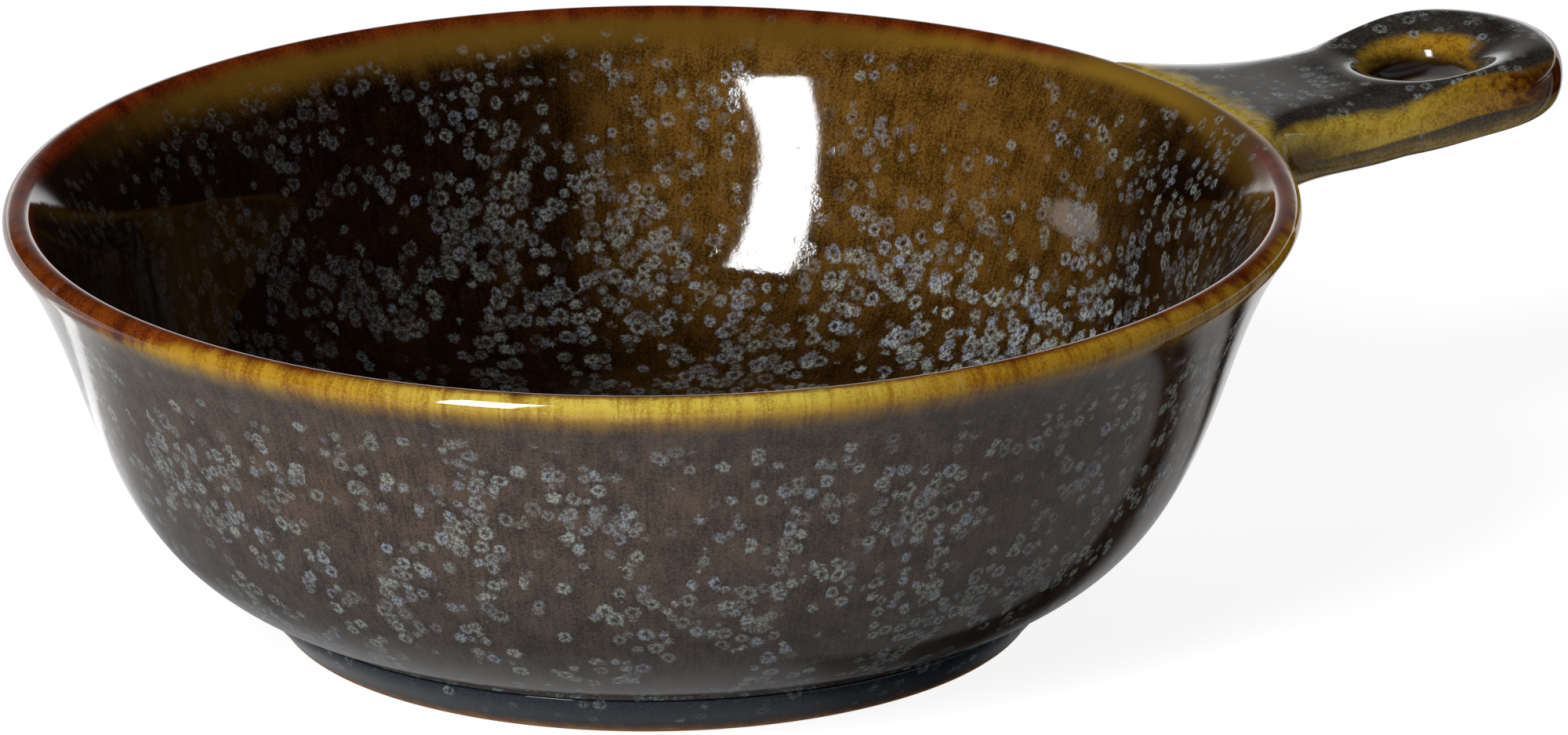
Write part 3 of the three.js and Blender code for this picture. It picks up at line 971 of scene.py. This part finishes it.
class HandleCoat(GlazeCoat):
    """The glaze on the handle: slate on top, amber and oxblood along its sides, olive brightened by painted
    light below, umber underneath, with painted shade in the hole.
    """

    def paint(self) -> None:
        """Paints the whole coat."""
        glaze, marks = self.glaze, self.glaze.handle
        tilt = self.parts(self.node("ShaderNodeTexCoord", {}, {}).outputs["Normal"])[2]
        x, y, height = self.parts(self.place)
        radius = self.length(x, y)
        from_hole = self.length(x - Handle.hole_x, y)
        above = height - (Handle.neck_bottom + Handle.ring_bottom_lift * x.step(*marks.ring_rise))
        grain = self.noise(self.place, marks.grain_size)
        drift = self.noise(self.place, marks.drift_size)
        spots = self.noise(self.place, marks.spot_size)
        waver = (drift - 0.5) * 0.5
        tone = (grain * 0.6 + drift * 0.4).step(*marks.tone)
        # Painted light: the olive below the top is brightened to stand in for light bounced up from the
        # floor.
        slaty = tilt.step(*marks.slate_tilt)
        base = self.mix(slaty, self.mix(tone, *glaze.bounce_lit_olive), self.mix(tone, *glaze.slate))
        under = 1 - (tilt + waver * 0.2).step(*marks.under_tilt)
        base = self.mix(under, base, self.mix(tone, *glaze.umber))
        side = (1 - (tilt + waver).step(*marks.side_tilt)) * (above + waver * 1.2).step(*marks.side_height)
        mouth = (1 - (from_hole + waver * 2.5).step(*marks.mouth)) * y.step(*marks.mouth_across)
        side = self.math("MAXIMUM", side, mouth)
        lip = (1 - (radius + waver * 10.0).step(*marks.lip)) * tilt.step(*marks.lip_tilt)
        amber = self.math("MAXIMUM", side, lip)
        mottle = (spots * 0.5 + grain * 0.5).step(*marks.mottle)
        straw = (1 - radius.step(*marks.straw)) * 0.8
        broken = self.mix(straw, self.mix(mottle, *glaze.amber), self.mix(mottle, *glaze.straw))
        scorch = 1 - (above + waver * 2.0).step(*marks.scorch_height)
        scorch = scorch * (1 - (x + waver * 8.0).step(*marks.scorch))
        broken = self.mix(scorch * 0.8, broken, glaze.oxblood[0])
        tip = radius.step(*marks.tip)
        red = (spots + tip * marks.tip_red).step(*marks.red) * from_hole.step(*marks.red_from_hole)
        blood = self.blood(grain, spots - tip * marks.tip_depth)
        colour = self.mix(side * red * 0.95, self.mix(amber, base, broken), blood)
        # Painted shade: the lower part of the hole's wall is darkened to dark sepia and made a little
        # rougher.
        hole_shade = 1 - (height + waver * 2.0).step(*marks.hole_shade_height)
        hole_shade = hole_shade * (1 - from_hole.step(*marks.hole_shade))
        colour = self.mix(hole_shade, colour, glaze.shade_sepia[1])
        density = (1 - amber) * (0.25 + 0.35 * tilt.step(*marks.crystal_tilt))
        colour, ring = self.crystals(colour, density)
        self.polish(colour, ring, hole_shade * marks.hole_shade_roughness, drift * marks.drift_relief)


@dataclass(frozen=True)
class ReactiveGlaze:
    """A glossy glaze: brown, with crystals, that breaks amber and oxblood over edges.

    A tone is a deep and a light colour that the glaze wavers between.
    """

    brown: Tone = ((0.040, 0.016, 0.002, 1), (0.184, 0.090, 0.016, 1))
    # Painted shade: this dark sepia stands for shade on the inside and in the handle's hole.
    shade_sepia: Tone = ((0.002, 0.0006, 0.0002, 1), (0.013, 0.0045, 0.0012, 1))
    umber: Tone = ((0.016, 0.007, 0.003, 1), (0.110, 0.069, 0.046, 1))
    slate: Tone = ((0.022, 0.016, 0.012, 1), (0.060, 0.052, 0.046, 1))
    bounce_lit_olive: Tone = ((0.270, 0.170, 0.050, 1), (0.640, 0.430, 0.130, 1))
    navy: Tone = ((0.010, 0.015, 0.025, 1), (0.032, 0.044, 0.064, 1))
    amber: Tone = ((0.220, 0.085, 0.006, 1), (0.400, 0.225, 0.018, 1))
    straw: Tone = ((0.360, 0.215, 0.022, 1), (0.570, 0.440, 0.070, 1))
    oxblood: Tone = ((0.050, 0.003, 0.0015, 1), (0.168, 0.024, 0.004, 1))
    gilt: Colour = (0.128, 0.066, 0.008, 1)
    clay: Colour = (0.330, 0.160, 0.060, 1)
    blood: Band = (0.36, 0.62)
    gloss: float = 0.05
    refraction: float = 1.52
    crystals: Crystals = Crystals()
    wall: WallMarks = WallMarks()
    foot: FootMarks = FootMarks()
    handle: HandleMarks = HandleMarks()

    def material(self, zone: Zone) -> bpy.types.Material:
        """Makes the glaze for one part of the object.

        Args:
            zone: The part that the glaze is for.

        Returns:
            The material.
        """
        coats = {Zone.WALL: WallCoat, Zone.FOOT: FootCoat, Zone.HANDLE: HandleCoat}
        made = bpy.data.materials.new(f"{zone.value}_glaze")
        made.use_nodes = True
        coats[zone](made.node_tree, self).paint()
        return made


@dataclass(frozen=True)
class SoftBox:
    """A soft light that faces the bowl. Angles in degrees, as seen from the bowl; distance in metres."""

    name: str
    azimuth: float
    elevation: float
    distance: float
    width: float
    height: float
    radiance: float
    mirrored: bool = True

    def hang(self) -> None:
        """Hangs the light."""
        data = bpy.data.lights.new(self.name, "AREA")
        data.shape = "RECTANGLE"
        data.size = 2 * self.distance * math.tan(math.radians(self.width / 2))
        data.size_y = 2 * self.distance * math.tan(math.radians(self.height / 2))
        data.energy = self.radiance * math.pi * data.size * data.size_y
        lamp = bpy.data.objects.new(self.name, data)
        back = bearing(self.azimuth, self.elevation)
        turn = (-back).to_track_quat("-Z", "Y").to_matrix().to_4x4()
        lamp.matrix_world = Matrix.Translation(BOWL_AXIS + back * self.distance) @ turn
        lamp.visible_camera = False
        lamp.visible_glossy = self.mirrored
        bpy.context.scene.collection.objects.link(lamp)


@dataclass(frozen=True)
class FloorMarks:
    """Where the floor changes in what the glaze mirrors, in millimetres from the bowl's axis."""

    paint: float = 0.35
    mirrored_paint: float = 0.45
    to_camera: float = 0.87
    shade_slope: float = 0.72
    shade: Band = (64.0, 73.0)
    shade_aside: Band = (5.0, 25.0)
    near: Band = (40.0, 90.0)
    left: Band = (-85.0, -60.0)
    left_dim: Band = (-120.0, -20.0)
    right_dim: Band = (0.0, 120.0)
    back: Band = (-45.0, -5.0)
    gap_front: Band = (46.0, 60.0)
    gap_back: Band = (18.0, 32.0)
    gap_aside: Band = (30.0, 60.0)
    gleam: Band = (50.0, 62.0)
    gleam_aside: Band = (0.0, 40.0)
    streak_back: Band = (-58.0, -52.0)
    streak_front: Band = (-44.0, -38.0)
    behind_slope: float = 1.65
    behind: Band = (75.0, 100.0)
    under: Band = (43.0, 44.5)
    under_glow: float = 0.45


@dataclass
class Stage:
    """Pale floor, a tall key light, two faint fills, and the camera, which are no part of the object."""

    azimuth: float = -30.0
    elevation: float = 18.582
    distance: float = 2.0008
    lens: float = 396.48
    sensor: float = 36.0
    image: tuple[int, int] = (2000, 937)
    target_pixel: tuple[float, float] = (834.21, 511.54)
    target_height: float = 0.02522
    roll: float = -0.562
    view_end: float = 100.0
    key: SoftBox = SoftBox("key_box", -60.1, 32.5, 0.9, 12.4, 33.5, 26.0)
    fill: SoftBox = SoftBox("fill_box", 150.0, 40.0, 1.2, 50.0, 24.0, 1.0, False)
    side_fill: SoftBox = SoftBox("side_fill_box", 105.0, 5.0, 1.2, 60.0, 10.0, 14.0, False)
    surround: float = 0.03
    dark_studio: float = 0.005
    backdrop_glow: float = 0.34
    glow_rise: Band = (0.2, 0.5)
    glow_round: Band = (0.85, 0.97)
    sweep_radiance: float = 1.7
    sweep_round: Band = (-0.2, 0.5)
    sweep_low: float = 0.08
    sweep_rise: float = 0.24
    sweep_middle: Band = (0.85, 0.99)
    floor_marks: FloorMarks = FloorMarks()
    floor_size: float = 40.0
    floor_drop: float = 0.0001

    def camera(self) -> None:
        """Puts the camera so that the bowl's middle is at its place in the image."""
        data = bpy.data.cameras.new("camera")
        data.lens = self.lens
        data.sensor_width = self.sensor
        data.clip_end = self.view_end
        camera = bpy.data.objects.new("camera", data)
        target = BOWL_AXIS + Vector((0, 0, self.target_height))
        back = bearing(self.azimuth, self.elevation)
        pixels = self.lens / self.sensor * self.image[0]
        across = (self.target_pixel[0] - self.image[0] / 2) / pixels
        down = (self.target_pixel[1] - self.image[1] / 2) / pixels
        seen = Vector((across, -down, -1))
        aim = seen.rotation_difference(Vector((0, 0, -1))).to_matrix()
        level = (-back).to_track_quat("-Z", "Y").to_matrix()
        turn = level @ Matrix.Rotation(math.radians(self.roll), 3, "Z") @ aim
        camera.matrix_world = Matrix.Translation(target + back * self.distance) @ turn.to_4x4()
        bpy.context.scene.collection.objects.link(camera)
        bpy.context.scene.camera = camera

    def world(self) -> None:
        """White to the camera, pale along the horizon in reflections, and faint as a light."""
        world = bpy.data.worlds.new("surround")
        world.use_nodes = True
        bpy.context.scene.world = world
        shader = Shader(world.node_tree)
        to_camera, glossy = shader.rays("Camera", "Glossy")
        along_x, along_y, rise = shader.parts(shader.node("ShaderNodeTexCoord", {}, {}).outputs["Generated"])
        away = -towards(along_x, along_y, self.azimuth)
        top = self.sweep_low + away.step(*self.sweep_middle) * self.sweep_rise
        sweep = (1 - rise.step(0.0, top)) * away.step(*self.sweep_round) * self.sweep_radiance
        glow = (1 - rise.step(*self.glow_rise)) * away.step(*self.glow_round) * self.backdrop_glow
        reflected = self.dark_studio + shader.math("MAXIMUM", sweep, glow)
        lighting = self.surround * (1 - glossy) + reflected * glossy
        strength = shader.math("MAXIMUM", lighting, to_camera)
        white = shader.node("ShaderNodeBackground", {}, {"Color": (1, 1, 1, 1), "Strength": strength})
        shader.node("ShaderNodeOutputWorld", {}, {"Surface": white.outputs[0]})

    def _floor_material(self) -> bpy.types.Material:
        """Makes the floor's finish: plain to the camera, with painted light and dark zones in what the glaze
        mirrors, and a painted glow under the foot.

        Returns:
            The material.
        """
        marks = self.floor_marks
        made = bpy.data.materials.new("pale_floor")
        made.use_nodes = True
        shader = Shader(made.node_tree)
        to_camera, glossy, scattered = shader.rays("Camera", "Glossy", "Diffuse")
        x, y, _ = shader.parts(shader.object_place())
        radius = shader.length(x, y)
        ahead = towards(x, y, self.azimuth)
        aside = towards(x, y, self.azimuth + 90)
        spread = ahead + aside * marks.shade_slope
        # Painted shade in what the glaze mirrors: the floor is dimmed for glossy rays in these zones.
        shaded = (1 - spread.step(*marks.shade)) * aside.step(*marks.shade_aside)
        near = (1 - radius.step(*marks.near)) * 0.7
        leftward = 1 - aside.step(*marks.left)
        backward = 1 - ahead.step(*marks.back)
        dimmed = 0.78 * shader.math("MAXIMUM", shaded, near) + aside.step(*marks.right_dim) * 0.38
        dimmed = dimmed + (1 - aside.step(*marks.left_dim)) * 0.32 + backward * leftward * 0.35
        shade = marks.paint + glossy * (marks.mirrored_paint - dimmed)
        paint = shader.node("ShaderNodeBsdfDiffuse", {}, {"Color": shader.joined(shade, shade, shade)})
        # Painted reflections: these bands glow for glossy rays only.
        gap = (1 - spread.step(*marks.gap_front)) * spread.step(*marks.gap_back)
        gap = gap * aside.step(*marks.gap_aside)
        gleam = (1 - radius.step(*marks.gleam)) * (1 - aside.step(*marks.gleam_aside))
        streak = ahead.step(*marks.streak_back) * (1 - ahead.step(*marks.streak_front)) * leftward
        behind = (1 - (ahead + aside * marks.behind_slope).step(*marks.behind)) * backward
        mirrored = behind * 0.8 + gap * 0.34 + gleam * 0.22 + streak
        # Painted glow: under the foot the floor glows for diffuse rays, to light the underside.
        under = (1 - radius.step(*marks.under)) * scattered
        strength = to_camera * marks.to_camera + glossy * mirrored + under * marks.under_glow
        glow = shader.node("ShaderNodeEmission", {}, {"Strength": strength})
        lit = shader.node("ShaderNodeAddShader", {}, {0: paint.outputs[0], 1: glow.outputs[0]})
        clear = shader.node("ShaderNodeBsdfTransparent", {}, {})
        below = Value(shader, shader.node("ShaderNodeNewGeometry", {}, {}).outputs["Backfacing"]) * to_camera
        seen = shader.node("ShaderNodeMixShader", {}, {0: below, 1: lit.outputs[0], 2: clear.outputs[0]})
        shader.node("ShaderNodeOutputMaterial", {}, {"Surface": seen.outputs[0]})
        return made

    def floor(self) -> None:
        """Lays the floor: white to the camera, clear from below, with the bowl's shade."""
        sheet = bmesh.new()
        bmesh.ops.create_grid(sheet, x_segments=1, y_segments=1, size=self.floor_size / 2)
        bmesh.ops.translate(sheet, verts=sheet.verts, vec=(0, 0, -self.floor_drop))
        mesh = bpy.data.meshes.new("floor")
        sheet.to_mesh(mesh)
        sheet.free()
        floor = bpy.data.objects.new("floor", mesh)
        bpy.context.scene.collection.objects.link(floor)
        mesh.materials.append(self._floor_material())

    def build(self) -> None:
        """Sets the whole stage."""
        bpy.context.scene.view_settings.view_transform = "Standard"
        self.camera()
        self.key.hang()
        self.fill.hang()
        self.side_fill.hang()
        self.world()
        self.floor()


def dress(piece: bpy.types.Object, material: bpy.types.Material, slot: str, *nodes: str) -> None:
    """Gives a piece its finish and its body, hides the solids that it stands for, and logs them.

    Args:
        piece: The piece.
        material: Its finish.
        slot: A name for that finish, shown in the log.
        nodes: The solids that it stands for.
    """
    piece.data.materials.append(material)
    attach(piece, BODY)
    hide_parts(*nodes)
    LOG.info("%s stands for %s in %s", piece.name, ", ".join(nodes), slot)


def main() -> None:
    """Builds the pieces, dresses them and sets the stage."""
    logging.basicConfig(level=logging.INFO)
    glaze = ReactiveGlaze()
    shell = BowlShell()
    dress(shell.build(), glaze.material(Zone.WALL), "brown_glaze", "bowl_body")
    dress(FootRing().build(), glaze.material(Zone.FOOT), "navy_glaze", "foot_ring", "foot_slip")
    dress(Handle(shell).build(), glaze.material(Zone.HANDLE), "slate_glaze", "handle", "handle_slip")
    Stage().build()


if __name__ == "__main__":
    main()
